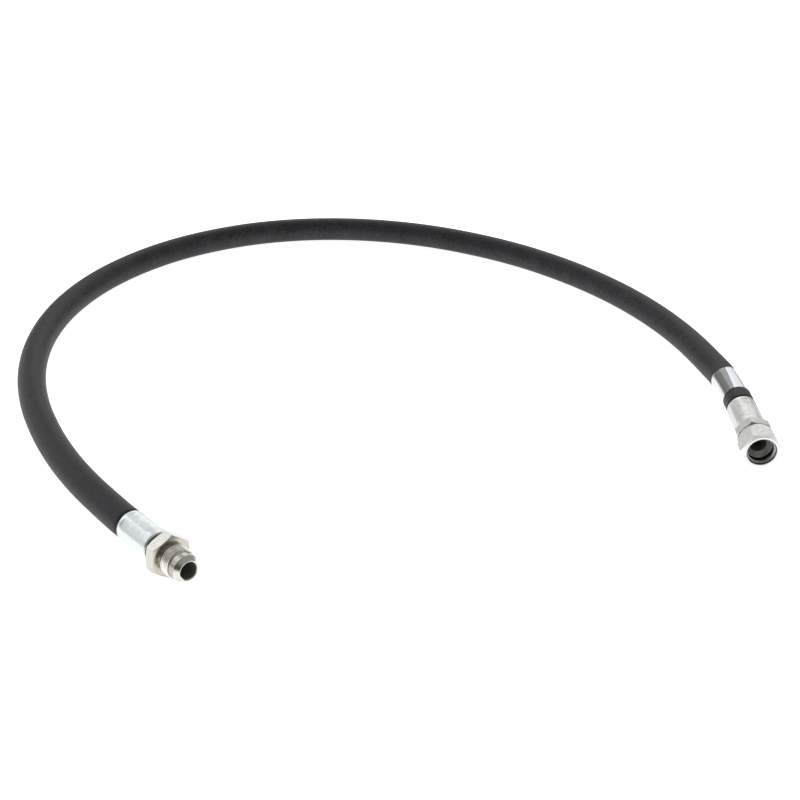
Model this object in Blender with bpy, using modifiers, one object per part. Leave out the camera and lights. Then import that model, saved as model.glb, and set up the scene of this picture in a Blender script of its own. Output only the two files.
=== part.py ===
"""Hydraulic hose assembly with a fixed male end and a swivel-nut female end.

All sizes are in metres and +Z is up. The hose lies on the ground plane in one
loose arc. Each end fitting is turned about its own axis, with stations counted
from the rear edge of its ferrule towards its open end.
"""

import bpy
from math import atan2, cos, pi, radians, sin, tan
from mathutils import Matrix, Vector

# Hose: outer radius and wall of each layer, from the cover inwards.
COVER_RADIUS = 0.0141
LAYERS = (
    ("hose_outer_braid", 0.0128, 0.0005),
    ("hose_insulation_layer", 0.0120, 0.0003),
    ("hose_inner_braid", 0.0114, 0.0005),
    ("hose_inner_tube", 0.0106, 0.0011),
)
COVER_WALL = 0.0010
ROUTE_SPANS = 21            # straight spans between the male ferrule and the label
STRAIGHT_TAIL = 0.016       # straight hose behind the male ferrule
FIT_GAP = 0.0003            # clearance between pieces that touch

# Route of the hose axis, from the male ferrule to the female ferrule.
ROUTE = (
    (-0.2069, -0.3049, 0.018), (-0.2589, -0.2382, 0.0156), (-0.2906, -0.1893, 0.0145),
    (-0.3177, -0.1381, 0.0142), (-0.3401, -0.0843, 0.0142), (-0.3560, -0.0274, 0.0142),
    (-0.3636, 0.0310, 0.0142), (-0.3622, 0.0899, 0.0142), (-0.3510, 0.1473, 0.0142),
    (-0.3295, 0.2018, 0.0142), (-0.2982, 0.2510, 0.0142), (-0.2584, 0.2932, 0.0142),
    (-0.2113, 0.3263, 0.0142), (-0.1587, 0.3499, 0.0142), (-0.1024, 0.3624, 0.0142),
    (-0.0445, 0.3641, 0.0142), (0.0134, 0.3555, 0.0142), (0.0696, 0.3375, 0.0142),
    (0.1227, 0.3110, 0.0142), (0.1718, 0.2782, 0.0142), (0.2155, 0.2394, 0.0142),
    (0.2540, 0.1962, 0.0142), (0.2869, 0.1492, 0.0142), (0.3141, 0.0981, 0.0142),
    (0.3350, 0.0438, 0.0142), (0.3498, -0.0153, 0.015), (0.3550, -0.0470, 0.0163),
    (0.3575, -0.0910, 0.01745), (0.3575, -0.1095, 0.01745),
)
LABEL_START = 26            # the label covers the hose between these two route points
LABEL_END = 27
LABEL_WALL = 0.0003

# Direction of each fitting axis, towards its open end.
MALE_HEADING = radians(-49.7)
MALE_TILT = radians(2.0)
MALE_HEX_TURN = radians(-9.5)   # a corner this far from straight down
FEMALE_HEADING = radians(-90.0)

# Ferrules: the crimped sleeves over the hose ends.
MALE_FERRULE_LENGTH = 0.0447
FEMALE_FERRULE_LENGTH = 0.0430
FERRULE_RADIUS = 0.0146
FERRULE_BORE = 0.01315
FERRULE_LIP_BORE = 0.0103
FERRULE_LIP = 0.0037
CRIMP_FLATS = 8
CRIMP_APOTHEM = 0.0142

# Nipples: the barbed tail of each stem inside the hose.
NIPPLE_BORE = 0.0069
NIPPLE_ROOT = 0.0082
NIPPLE_BARB = 0.0088
BARBS = 5
BARB_PITCH = 0.0060
COLLAR_RADIUS = 0.0115
COLLAR_WIDTH = 0.0017
NECK_RADIUS = 0.0100

# Thread 1-1/16-12 and its 37 degree seat.
THREAD_PITCH = 0.0254 / 12
THREAD_MAJOR = 0.0135
THREAD_MINOR = 0.0123
SEAT_ANGLE = radians(37.0)
STEM_BORE = 0.00775

# Male end, stations from its ferrule's rear edge.
MALE_HEX_FLATS = 0.0349
MALE_HEX = (0.0510, 0.0635)
MALE_RELIEF_RADIUS = 0.0120
MALE_THREAD_START = 0.0653
MALE_THREAD_TURNS = 5
MALE_SEAT_START = 0.0851
MALE_NOSE = 0.0894
MALE_MOUTH_RADIUS = 0.0082
MALE_BORE_STEP = 0.0540

# Female end, stations from its ferrule's rear edge.
STEM_HEX_FLATS = 0.03175
STEM_HEX = (0.0438, 0.0552)
STEM_HEX_TURN = radians(-19.0)
STEM_HEAD_RADIUS = 0.0120
STEM_RIM = 0.0710
STEM_RIM_RADIUS = 0.0116
STEM_BORE_STEP = 0.0440

# Swivel nut and the wire that holds it on the stem.
NUT_HEX_FLATS = 0.0349
NUT = (0.0560, 0.0807)
NUT_TURN = radians(30.0)         # a flat faces straight down
NUT_BORE = 0.0123
NUT_RELIEF = (0.0685, 0.0725)
NUT_RELIEF_RADIUS = 0.0137
NUT_MOUTH_RADIUS = 0.0136
NUT_THREAD_TURNS = 3
WIRE_STATION = 0.0620
WIRE_RING_RADIUS = 0.01215
WIRE_RADIUS = 0.00095
WIRE_GROOVE_HALF_WIDTH = 0.00125
WIRE_GROOVE_FLOOR = 0.0109
WIRE_GROOVE_ROOF = 0.0134
WIRE_OPENING = radians(14.0)

CHAMFER = radians(30.0)
HEX_FACE_RATIO = 0.91       # radius of a hex's chamfered face over half its flats
SEGMENTS = 24

COLOURS = {
    "rubber": ((0.035, 0.035, 0.038), 0.62, 0.0),
    "tube_rubber": ((0.02, 0.02, 0.02), 0.5, 0.0),
    "braid": ((0.55, 0.50, 0.38), 0.35, 1.0),
    "zinc": ((0.70, 0.73, 0.76), 0.32, 1.0),
    "nickel": ((0.74, 0.72, 0.66), 0.25, 1.0),
    "foil": ((0.72, 0.73, 0.75), 0.18, 1.0),
}

MALE_FRAME = (
    Matrix.Translation(ROUTE[0])
    @ Matrix.Rotation(MALE_HEADING, 4, "Z")
    @ Matrix.Rotation(pi / 2 - MALE_TILT, 4, "Y")
)
FEMALE_FRAME = (
    Matrix.Translation(ROUTE[-1])
    @ Matrix.Rotation(FEMALE_HEADING, 4, "Z")
    @ Matrix.Rotation(pi / 2, 4, "Y")
)


def clear_scene():
    for obj in list(bpy.data.objects):
        bpy.data.objects.remove(obj, do_unlink=True)


def material(finish):
    """One Principled material for each finish."""
    existing = bpy.data.materials.get(finish)
    if existing:
        return existing
    colour, roughness, metallic = COLOURS[finish]
    made = bpy.data.materials.new(finish)
    made.use_nodes = True
    shader = made.node_tree.nodes["Principled BSDF"]
    shader.inputs["Base Color"].default_value = (*colour, 1.0)
    shader.inputs["Roughness"].default_value = roughness
    shader.inputs["Metallic"].default_value = metallic
    return made


def place(name, data, finish, collection, frame=None):
    """Link a named object for one sub-part."""
    obj = bpy.data.objects.new(name, data)
    data.materials.clear()
    data.materials.append(material(finish))
    collection.objects.link(obj)
    if frame:
        obj.matrix_world = frame
    return obj


# ---- Turned and hexagonal metal pieces ----

def spun_mesh(name, outline, collection):
    """Turn a closed outline of (radius, station) points about the local Z axis."""
    mesh = bpy.data.meshes.new(name + "_outline")
    corners = [(radius, 0.0, station) for radius, station in outline]
    edges = [(i, (i + 1) % len(corners)) for i in range(len(corners))]
    mesh.from_pydata(corners, edges, [])
    blank = bpy.data.objects.new(name + "_blank", mesh)
    collection.objects.link(blank)
    screw = blank.modifiers.new("Turn", "SCREW")
    screw.steps = SEGMENTS
    screw.render_steps = SEGMENTS
    screw.use_merge_vertices = True
    screw.merge_threshold = 0.00002
    depsgraph = bpy.context.evaluated_depsgraph_get()
    turned = bpy.data.meshes.new_from_object(blank.evaluated_get(depsgraph))
    turned.name = name
    bpy.data.objects.remove(blank, do_unlink=True)
    return turned


def press_flats(mesh, sides, apothem, turn, start, end):
    """Flatten the outside between two stations to a regular polygon, then turn the piece."""
    side = 2 * pi / sides
    margin = 0.00001
    for vertex in mesh.vertices:
        x, y, station = vertex.co
        radius = (x * x + y * y) ** 0.5
        if not start - margin <= station <= end + margin:
            continue
        from_middle = atan2(y, x) % side - side / 2
        limit = apothem / cos(from_middle)
        if radius > limit:
            vertex.co.x *= limit / radius
            vertex.co.y *= limit / radius
    mesh.transform(Matrix.Rotation(turn, 4, "Z"))


def hex_outline(flats, start, end):
    """Outer points of a chamfered hex, from its front face to its back face."""
    face = HEX_FACE_RATIO * flats / 2
    corner = flats / 2 / cos(pi / 6)
    depth = (corner - face) * tan(CHAMFER)
    steps = 3
    chamfer = [(face + (corner - face) * i / steps, depth * i / steps) for i in range(steps + 1)]
    front = [(radius, end - inset) for radius, inset in chamfer]
    back = [(radius, start + inset) for radius, inset in reversed(chamfer)]
    return front + back


def thread_outline(start, turns, major, minor):
    """Thread crests and roots as rings, from the front end to the back end."""
    flat = THREAD_PITCH / 8
    ramp = THREAD_PITCH / 2 - flat
    points = []
    for turn in reversed(range(turns)):
        base = start + turn * THREAD_PITCH
        points += [
            (minor, base + THREAD_PITCH - flat / 2),
            (major, base + THREAD_PITCH - flat / 2 - ramp),
            (major, base + THREAD_PITCH - 1.5 * flat - ramp),
            (minor, base + flat / 2),
        ]
    return points


def nipple_outline(insertion, ferrule_length):
    """Outer points of the stem's tail: neck, collar and barbs, front to back."""
    collar_back = insertion + FIT_GAP
    points = [
        (NECK_RADIUS, ferrule_length),
        (NECK_RADIUS, collar_back + COLLAR_WIDTH),
        (COLLAR_RADIUS, collar_back + COLLAR_WIDTH),
        (COLLAR_RADIUS, collar_back),
        (NIPPLE_ROOT, collar_back),
    ]
    first_barb = collar_back - 0.003
    for barb in range(BARBS):
        front = first_barb - barb * BARB_PITCH
        points += [
            (NIPPLE_ROOT, front),
            (NIPPLE_BARB, front - 0.0002),
            (NIPPLE_ROOT, front - BARB_PITCH + 0.0010),
        ]
    return points + [(NIPPLE_ROOT, 0.0025), (0.0076, 0.0015)]


def insertion_depth(ferrule_length):
    """Station where the hose's cut end stands inside the ferrule."""
    return ferrule_length - FERRULE_LIP - COLLAR_WIDTH - 2 * FIT_GAP


def add_ferrule(name, length, frame, collection):
    """Crimped sleeve with a rolled rear edge and an inner lip behind the stem's collar."""
    crimp_start = 0.0042
    crimp_end = length - 0.0085
    outline = [
        (FERRULE_LIP_BORE, length),
        (0.0129, length),
        (0.0140, length - 0.0012),
        (0.0144, length - 0.0012),
        (0.0144, length - 0.0068),
        (0.0141, length - 0.0074),
        (0.0141, length - 0.0080),
        (FERRULE_RADIUS, crimp_end),
        (FERRULE_RADIUS, crimp_start),
        (FERRULE_RADIUS, 0.0010),
        (0.0142, 0.0002),
        (0.0137, 0.0),
        (FERRULE_BORE, 0.0),
        (FERRULE_BORE, length - FERRULE_LIP),
        (FERRULE_LIP_BORE, length - FERRULE_LIP),
    ]
    mesh = spun_mesh(name, outline, collection)
    press_flats(mesh, CRIMP_FLATS, CRIMP_APOTHEM, pi / CRIMP_FLATS, crimp_start, crimp_end)
    place(name, mesh, "zinc", collection, frame)


def add_male_stem(collection):
    """Barbed nipple, hex, thread and 37 degree nose in one bored piece."""
    length = MALE_FERRULE_LENGTH
    nose_radius = THREAD_MINOR - (MALE_NOSE - MALE_SEAT_START) * tan(SEAT_ANGLE)
    outline = [(MALE_MOUTH_RADIUS, MALE_NOSE), (nose_radius, MALE_NOSE)]
    outline += [(THREAD_MINOR, MALE_SEAT_START)]
    outline += thread_outline(MALE_THREAD_START, MALE_THREAD_TURNS, THREAD_MAJOR, THREAD_MINOR)
    outline += [(MALE_RELIEF_RADIUS, MALE_THREAD_START), (MALE_RELIEF_RADIUS, MALE_HEX[1])]
    outline += hex_outline(MALE_HEX_FLATS, *MALE_HEX)
    outline += [(NECK_RADIUS, MALE_HEX[0])]
    outline += nipple_outline(insertion_depth(length), length)
    outline += [
        (NIPPLE_BORE, 0.0015),
        (NIPPLE_BORE, MALE_BORE_STEP),
        (STEM_BORE, MALE_BORE_STEP + 0.0006),
        (STEM_BORE, MALE_NOSE - 0.0006),
    ]
    mesh = spun_mesh("male_stem", outline, collection)
    hex_start, hex_end = MALE_HEX
    press_flats(mesh, 6, MALE_HEX_FLATS / 2, MALE_HEX_TURN, hex_start, hex_end)
    place("male_stem", mesh, "nickel", collection, MALE_FRAME)


def add_female_stem(collection):
    """Barbed nipple, hex and grooved head with a hollow 37 degree seat."""
    length = FEMALE_FERRULE_LENGTH
    seat_depth = (STEM_RIM_RADIUS - STEM_BORE) / tan(SEAT_ANGLE)
    outline = [
        (STEM_RIM_RADIUS, STEM_RIM),
        (STEM_HEAD_RADIUS - 0.0001, STEM_RIM),
        (STEM_HEAD_RADIUS, STEM_RIM - 0.0002),
        (STEM_HEAD_RADIUS, WIRE_STATION + WIRE_GROOVE_HALF_WIDTH),
        (WIRE_GROOVE_FLOOR, WIRE_STATION + WIRE_GROOVE_HALF_WIDTH),
        (WIRE_GROOVE_FLOOR, WIRE_STATION - WIRE_GROOVE_HALF_WIDTH),
        (STEM_HEAD_RADIUS, WIRE_STATION - WIRE_GROOVE_HALF_WIDTH),
        (STEM_HEAD_RADIUS, STEM_HEX[1]),
    ]
    outline += hex_outline(STEM_HEX_FLATS, *STEM_HEX)
    outline += [(NECK_RADIUS, STEM_HEX[0])]
    outline += nipple_outline(insertion_depth(length), length)
    outline += [
        (NIPPLE_BORE, 0.0015),
        (NIPPLE_BORE, STEM_BORE_STEP),
        (STEM_BORE, STEM_BORE_STEP + 0.0006),
        (STEM_BORE, STEM_RIM - seat_depth),
    ]
    mesh = spun_mesh("female_stem", outline, collection)
    hex_start, hex_end = STEM_HEX
    press_flats(mesh, 6, STEM_HEX_FLATS / 2, STEM_HEX_TURN, hex_start, hex_end)
    place("female_stem", mesh, "zinc", collection, FEMALE_FRAME)


def add_swivel_nut(collection):
    """Hex nut that turns on the stem: wire groove, relief, thread and bevelled mouth."""
    back, front = NUT
    thread_end = NUT_RELIEF[1] + NUT_THREAD_TURNS * THREAD_PITCH
    outer = hex_outline(NUT_HEX_FLATS, back, front)
    inner = [
        (NUT_BORE, back),
        (NUT_BORE, WIRE_STATION - WIRE_GROOVE_HALF_WIDTH),
        (WIRE_GROOVE_ROOF, WIRE_STATION - WIRE_GROOVE_HALF_WIDTH),
        (WIRE_GROOVE_ROOF, WIRE_STATION + WIRE_GROOVE_HALF_WIDTH),
        (NUT_BORE, WIRE_STATION + WIRE_GROOVE_HALF_WIDTH),
        (NUT_BORE, NUT_RELIEF[0]),
        (NUT_RELIEF_RADIUS, NUT_RELIEF[0]),
        (NUT_RELIEF_RADIUS, NUT_RELIEF[1]),
    ]
    rings = thread_outline(NUT_RELIEF[1], NUT_THREAD_TURNS, THREAD_MINOR + 0.0001, THREAD_MAJOR + 0.0001)
    inner += list(reversed(rings))
    inner += [(THREAD_MAJOR, thread_end), (NUT_MOUTH_RADIUS, front)]
    mesh = spun_mesh("swivel_nut", outer + inner, collection)
    press_flats(mesh, 6, NUT_HEX_FLATS / 2, NUT_TURN, back, front)
    place("swivel_nut", mesh, "zinc", collection, FEMALE_FRAME)


# ---- Wire, hose and label, made from curves ----

def tube_curve(name, points, radius, sides_resolution):
    """Round tube along straight spans between the points."""
    curve = bpy.data.curves.new(name, "CURVE")
    curve.dimensions = "3D"
    curve.twist_mode = "Z_UP"
    curve.bevel_depth = radius
    curve.bevel_resolution = sides_resolution
    spline = curve.splines.new("POLY")
    spline.points.add(len(points) - 1)
    for point, position in zip(spline.points, points):
        point.co = (*position, 1.0)
    return curve


def add_retaining_wire(collection):
    """Open ring of round wire, half in the stem's groove and half in the nut's."""
    steps = 24
    sweep = 2 * pi - WIRE_OPENING
    points = []
    for i in range(steps + 1):
        angle = WIRE_OPENING / 2 + sweep * i / steps
        points.append((WIRE_RING_RADIUS * cos(angle), WIRE_RING_RADIUS * sin(angle), WIRE_STATION))
    curve = tube_curve("nut_retaining_wire", points, WIRE_RADIUS, 2)
    curve.use_fill_caps = True
    place("nut_retaining_wire", curve, "zinc", collection, FEMALE_FRAME)


def smooth_point(points, index, part):
    """Catmull-Rom point a given part of the way from one route point to the next."""
    before = points[max(index - 1, 0)]
    start = points[index]
    end = points[index + 1]
    after = points[min(index + 2, len(points) - 1)]
    square = part * part
    cube = square * part
    return 0.5 * (
        2 * start
        + (end - before) * part
        + (2 * before - 5 * start + 4 * end - after) * square
        + (3 * start - before - 3 * end + after) * cube
    )


def add_sleeve(name, axis, radius, wall, finish, collection):
    """Hollow tube: an open skin with its wall added inwards."""
    curve = tube_curve(name, axis, radius, 4)
    sleeve = place(name, curve, finish, collection)
    solidify = sleeve.modifiers.new("Wall", "SOLIDIFY")
    solidify.thickness = wall
    solidify.offset = -1.0
    solidify.use_even_offset = True
    return sleeve


def add_hose(collection):
    """Cover between the ferrules, and the layers under it that run on into them."""
    route = [Vector(point) for point in ROUTE]
    male_rear = MALE_FRAME @ Vector((0.0, 0.0, -FIT_GAP))
    male_tail = MALE_FRAME @ Vector((0.0, 0.0, -STRAIGHT_TAIL))
    female_rear = FEMALE_FRAME @ Vector((0.0, 0.0, -FIT_GAP))
    between = smooth_span([route[0], male_tail] + route[1:LABEL_END + 1])
    label = [route[LABEL_START], route[LABEL_END]]
    free = [male_rear, male_tail] + between + label + [female_rear]
    add_sleeve("hose_cover", free, COVER_RADIUS, COVER_WALL, "rubber", collection)

    male_end = MALE_FRAME @ Vector((0.0, 0.0, insertion_depth(MALE_FERRULE_LENGTH)))
    female_end = FEMALE_FRAME @ Vector((0.0, 0.0, insertion_depth(FEMALE_FERRULE_LENGTH)))
    whole = [male_end] + free + [female_end]
    for name, radius, wall in LAYERS:
        finish = "braid" if "braid" in name else "tube_rubber"
        add_sleeve(name, whole, radius, wall, finish, collection)

    start, end = label
    inset = (end - start).normalized() * 0.0003
    label_radius = COVER_RADIUS + FIT_GAP + LABEL_WALL
    add_sleeve("id_label", [start + inset, end - inset], label_radius, LABEL_WALL, "foil", collection)


def smooth_span(guide):
    """Evenly spaced axis points strictly between the male ferrule and the label."""
    fine = []
    divisions = 40
    for index in range(1, len(guide) - 2):
        fine += [smooth_point(guide, index, i / divisions) for i in range(divisions)]
    fine.append(guide[-2])
    walked = [0.0]
    for a, b in zip(fine, fine[1:]):
        walked.append(walked[-1] + (b - a).length)
    chosen = []
    at = 0
    for i in range(1, ROUTE_SPANS):
        target = walked[-1] * i / ROUTE_SPANS
        while walked[at + 1] < target:
            at += 1
        part = (target - walked[at]) / (walked[at + 1] - walked[at])
        chosen.append(fine[at].lerp(fine[at + 1], part))
    return chosen


def main():
    clear_scene()
    collection = bpy.data.collections.new("hydraulic_hose_assembly")
    bpy.context.scene.collection.children.link(collection)
    add_male_stem(collection)
    add_ferrule("male_ferrule", MALE_FERRULE_LENGTH, MALE_FRAME, collection)
    add_female_stem(collection)
    add_ferrule("female_ferrule", FEMALE_FERRULE_LENGTH, FEMALE_FRAME, collection)
    add_swivel_nut(collection)
    add_retaining_wire(collection)
    add_hose(collection)


main()
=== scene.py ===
from math import atan2, cos, hypot, pi, radians, sin, tan

import bmesh
import bpy
from mathutils import Matrix, Vector


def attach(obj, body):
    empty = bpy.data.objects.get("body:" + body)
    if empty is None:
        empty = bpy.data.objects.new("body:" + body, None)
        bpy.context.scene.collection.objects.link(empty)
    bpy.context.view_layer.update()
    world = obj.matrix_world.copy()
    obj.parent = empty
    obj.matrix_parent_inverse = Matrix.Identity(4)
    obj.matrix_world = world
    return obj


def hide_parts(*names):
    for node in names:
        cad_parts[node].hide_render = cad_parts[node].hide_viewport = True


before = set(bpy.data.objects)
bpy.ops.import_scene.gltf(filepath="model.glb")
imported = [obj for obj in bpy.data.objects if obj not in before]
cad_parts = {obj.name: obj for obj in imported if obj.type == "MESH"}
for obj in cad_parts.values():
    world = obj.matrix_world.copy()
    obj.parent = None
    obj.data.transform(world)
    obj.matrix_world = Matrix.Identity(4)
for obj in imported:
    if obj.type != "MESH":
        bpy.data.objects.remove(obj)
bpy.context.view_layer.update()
scene = bpy.context.scene


# ---- Studio ----
# A white light table in a pale tent, with one cool softbox behind the hose and one on its left. The
# plated steel and the label mirror them, and the tent's darker side at the front on the left.

TABLE_HALF = 12.0
TABLE_GLOW = 0.92
TABLE_WHITE = (0.93, 0.92, 0.91, 1.0)

bm = bmesh.new()
bmesh.ops.create_grid(bm, x_segments=1, y_segments=1, size=TABLE_HALF)
table_mesh = bpy.data.meshes.new("light_table")
bm.to_mesh(table_mesh)
bm.free()
light_table = bpy.data.objects.new("light_table", table_mesh)
scene.collection.objects.link(light_table)
opal = bpy.data.materials.new("opal_sheet")
opal.use_nodes = True
opal_shader = opal.node_tree.nodes["Principled BSDF"]
opal_shader.inputs["Base Color"].default_value = TABLE_WHITE
opal_shader.inputs["Roughness"].default_value = 0.7
opal_shader.inputs["Specular IOR Level"].default_value = 0.2
opal_shader.inputs["Emission Color"].default_value = (1.0, 1.0, 1.0, 1.0)
opal_shader.inputs["Emission Strength"].default_value = TABLE_GLOW
table_mesh.materials.append(opal)

SOFTBOX_RADIANCE = 1.1


def softbox(name, place, target, width, height, tint):
    """A rectangular lamp that faces a target point, as bright as the other softboxes to look at."""
    lamp = bpy.data.lights.new(name, "AREA")
    lamp.shape = "RECTANGLE"
    lamp.size = width
    lamp.size_y = height
    lamp.energy = SOFTBOX_RADIANCE * pi * width * height
    lamp.color = tint
    holder = bpy.data.objects.new(name, lamp)
    scene.collection.objects.link(holder)
    aim = Vector(target) - Vector(place)
    holder.matrix_world = Matrix.Translation(place) @ aim.to_track_quat("-Z", "Y").to_matrix().to_4x4()


softbox(
    "back_softbox", place=(0.6, 2.6, 1.35), target=(0.1, 0.0, 0.0),
    width=2.9, height=1.9, tint=(0.97, 0.98, 1.0),
)
softbox(
    "left_softbox", place=(-2.2, 0.55, 1.15), target=(-0.2, -0.3, 0.0),
    width=2.4, height=1.8, tint=(0.95, 0.975, 1.0),
)


def add_node(tree, kind, inputs=None, **settings):
    """Add a shader node. An input given as a socket is linked, and any other value is set."""
    made = tree.nodes.new(kind)
    for setting, value in settings.items():
        setattr(made, setting, value)
    for name, value in (inputs or {}).items():
        if isinstance(value, bpy.types.NodeSocket):
            tree.links.new(value, made.inputs[name])
        else:
            made.inputs[name].default_value = value
    return made


def maths(tree, operation, *values):
    """Output of one Math node."""
    made = add_node(tree, "ShaderNodeMath", dict(enumerate(values)), operation=operation)
    return made.outputs[0]


def ramp(tree, value, start, end, first=0.0, last=1.0, shape="LINEAR"):
    """A number that goes from the first to the last as a value goes from start to end."""
    made = add_node(
        tree, "ShaderNodeMapRange",
        {"Value": value, "From Min": start, "From Max": end, "To Min": first, "To Max": last},
        interpolation_type=shape,
    )
    return made.outputs[0]


TENT_LEVEL = 0.36
TENT_COLOUR = (1.0, 0.985, 0.96, 1.0)
TENT_SEEN = 1.1

# Each side of the tent: its direction, the cosines between which it fades in, and its change in level.
DARK_SIDE = ((-0.88, -0.46, 0.08), (0.3, 0.8), -0.355)
PALE_SIDE = ((-0.25, 0.65, 0.72), (0.7, 0.95), 0.42)

tent = bpy.data.worlds.new("pale_tent")
tent.use_nodes = True
walls = tent.node_tree
direction = add_node(walls, "ShaderNodeTexCoord").outputs["Generated"]
level = TENT_LEVEL
for side, spread, change in (DARK_SIDE, PALE_SIDE):
    facing = add_node(walls, "ShaderNodeVectorMath", {0: direction, 1: side}, operation="DOT_PRODUCT")
    shade = ramp(walls, facing.outputs["Value"], *spread, last=change, shape="SMOOTHSTEP")
    level = maths(walls, "ADD", shade, level)

# Seen directly, the tent is as white as the table.
seen = add_node(walls, "ShaderNodeLightPath").outputs["Is Camera Ray"]
background = walls.nodes["Background"]
walls.links.new(maths(walls, "MULTIPLY_ADD", seen, TENT_SEEN, level), background.inputs["Strength"])
background.inputs["Color"].default_value = TENT_COLOUR
scene.world = tent
scene.view_settings.view_transform = "Standard"

CAMERA_PLACE = (0.0128, -1.2371, 0.6673)
CAMERA_PITCH = radians(29.51)
CAMERA_TURN = radians(-0.5)
CAMERA_SENSOR = 36.0
CAMERA_LENS = 59.9

view = bpy.data.cameras.new("studio_camera")
view.sensor_width = CAMERA_SENSOR
view.lens = CAMERA_LENS
view.clip_end = 50.0
camera = bpy.data.objects.new("studio_camera", view)
camera.location = CAMERA_PLACE
camera.rotation_euler = (pi / 2 - CAMERA_PITCH, 0.0, CAMERA_TURN)
scene.collection.objects.link(camera)
scene.camera = camera


# ---- Hose cover ----
# The outer cover is synthetic rubber, cured under a spiral wrap of nylon tape. The tape leaves its
# fine weave and a slanting overlap line on the matt surface. The cover ends at both ferrules.

HOSE_RADIUS = 0.0141
COVER_WALL = 0.0010
STRAIGHT_TAIL = 0.016
RING_SPACING = 0.005
GUIDE_PAST_END = 0.02
GUIDE_STEPS = 24
COVER_SIDES = 48

# Route of the hose axis, from the male ferrule to the female ferrule.
ROUTE = (
    (-0.2069, -0.3049, 0.018), (-0.2589, -0.2382, 0.0156), (-0.2906, -0.1893, 0.0145),
    (-0.3177, -0.1381, 0.0142), (-0.3401, -0.0843, 0.0142), (-0.3560, -0.0274, 0.0142),
    (-0.3636, 0.0310, 0.0142), (-0.3622, 0.0899, 0.0142), (-0.3510, 0.1473, 0.0142),
    (-0.3295, 0.2018, 0.0142), (-0.2982, 0.2510, 0.0142), (-0.2584, 0.2932, 0.0142),
    (-0.2113, 0.3263, 0.0142), (-0.1587, 0.3499, 0.0142), (-0.1024, 0.3624, 0.0142),
    (-0.0445, 0.3641, 0.0142), (0.0134, 0.3555, 0.0142), (0.0696, 0.3375, 0.0142),
    (0.1227, 0.3110, 0.0142), (0.1718, 0.2782, 0.0142), (0.2155, 0.2394, 0.0142),
    (0.2540, 0.1962, 0.0142), (0.2869, 0.1492, 0.0142), (0.3141, 0.0981, 0.0142),
    (0.3350, 0.0438, 0.0142), (0.3498, -0.0153, 0.015), (0.3550, -0.0470, 0.0163),
    (0.3575, -0.0910, 0.01745), (0.3575, -0.1095, 0.01745),
)

# The label lies between this route point and the next.
LABEL_START = 26

# Each fitting's axis is local Z, tipped about Y and then swung about Z.
MALE_TURN = (0.0, radians(88.0), radians(-49.7))
FEMALE_TURN = (0.0, radians(90.0), radians(-90.0))


def fitting_turn(turn):
    """Rotation matrix of a fitting."""
    return Matrix.Rotation(turn[2], 3, "Z") @ Matrix.Rotation(turn[1], 3, "Y")


MALE_FRAME = Matrix.LocRotScale(ROUTE[0], fitting_turn(MALE_TURN), None)
FEMALE_FRAME = Matrix.LocRotScale(ROUTE[-1], fitting_turn(FEMALE_TURN), None)


def along(fitting, station):
    """Point on a fitting's axis, counted from its ferrule's rear edge towards its open end."""
    return fitting @ Vector((0.0, 0.0, station))


def smooth_point(points, index, part):
    """Catmull-Rom point a given part of the way from one route point to the next."""
    before, start, end, after = points[index - 1:index + 3]
    square = part * part
    cube = square * part
    return 0.5 * (
        2 * start
        + (end - before) * part
        + (2 * before - 5 * start + 4 * end - after) * square
        + (3 * start - before - 3 * end + after) * cube
    )


def chain_length(points):
    """Length of a chain of points."""
    return sum((b - a).length for a, b in zip(points, points[1:]))


def even_points(points, spacing):
    """Points at an even spacing along a chain of closer ones."""
    walked = [0.0]
    for a, b in zip(points, points[1:]):
        walked.append(walked[-1] + (b - a).length)
    count = round(walked[-1] / spacing)
    chosen = []
    at = 0
    for i in range(count):
        target = walked[-1] * i / count
        while walked[at + 1] < target:
            at += 1
        part = (target - walked[at]) / (walked[at + 1] - walked[at])
        chosen.append(points[at].lerp(points[at + 1], part))
    return chosen + [points[-1]]


route = [Vector(point) for point in ROUTE]
guide = [route[0], along(MALE_FRAME, -STRAIGHT_TAIL)] + route[1:] + [along(FEMALE_FRAME, GUIDE_PAST_END)]
fine_axis = [route[0], along(MALE_FRAME, -STRAIGHT_TAIL / 2)]
label_axis = []
for index in range(1, len(guide) - 2):
    span = [smooth_point(guide, index, i / GUIDE_STEPS) for i in range(GUIDE_STEPS)]
    fine_axis += span
    if index == LABEL_START + 1:
        label_axis = span + [guide[index + 1]]
fine_axis.append(route[-1])
hose_axis = even_points(fine_axis, RING_SPACING)
hose_length = chain_length(hose_axis)


def hollow_tube(name, points, radius, wall, sides):
    """Round tube along close points, its UV map running along it and around it, its wall inwards."""
    curve = bpy.data.curves.new(name, "CURVE")
    curve.dimensions = "3D"
    curve.twist_mode = "Z_UP"
    curve.bevel_depth = radius
    curve.bevel_resolution = (sides - 4) // 2
    spline = curve.splines.new("POLY")
    spline.points.add(len(points) - 1)
    for point, position in zip(spline.points, points):
        point.co = (*position, 1.0)
    drawn = bpy.data.objects.new(name, curve)
    scene.collection.objects.link(drawn)
    depsgraph = bpy.context.evaluated_depsgraph_get()
    mesh = bpy.data.meshes.new_from_object(drawn.evaluated_get(depsgraph))
    bpy.data.objects.remove(drawn, do_unlink=True)
    mesh.name = name
    mesh.materials.clear()
    mesh.shade_smooth()
    tube = bpy.data.objects.new(name, mesh)
    scene.collection.objects.link(tube)
    solidify = tube.modifiers.new("Wall", "SOLIDIFY")
    solidify.thickness = wall
    solidify.offset = -1.0
    return tube


def noise(tree, inputs, **settings):
    """Output of one Noise Texture node, from 0 to 1."""
    return add_node(tree, "ShaderNodeTexNoise", inputs, **settings).outputs[0]


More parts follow.
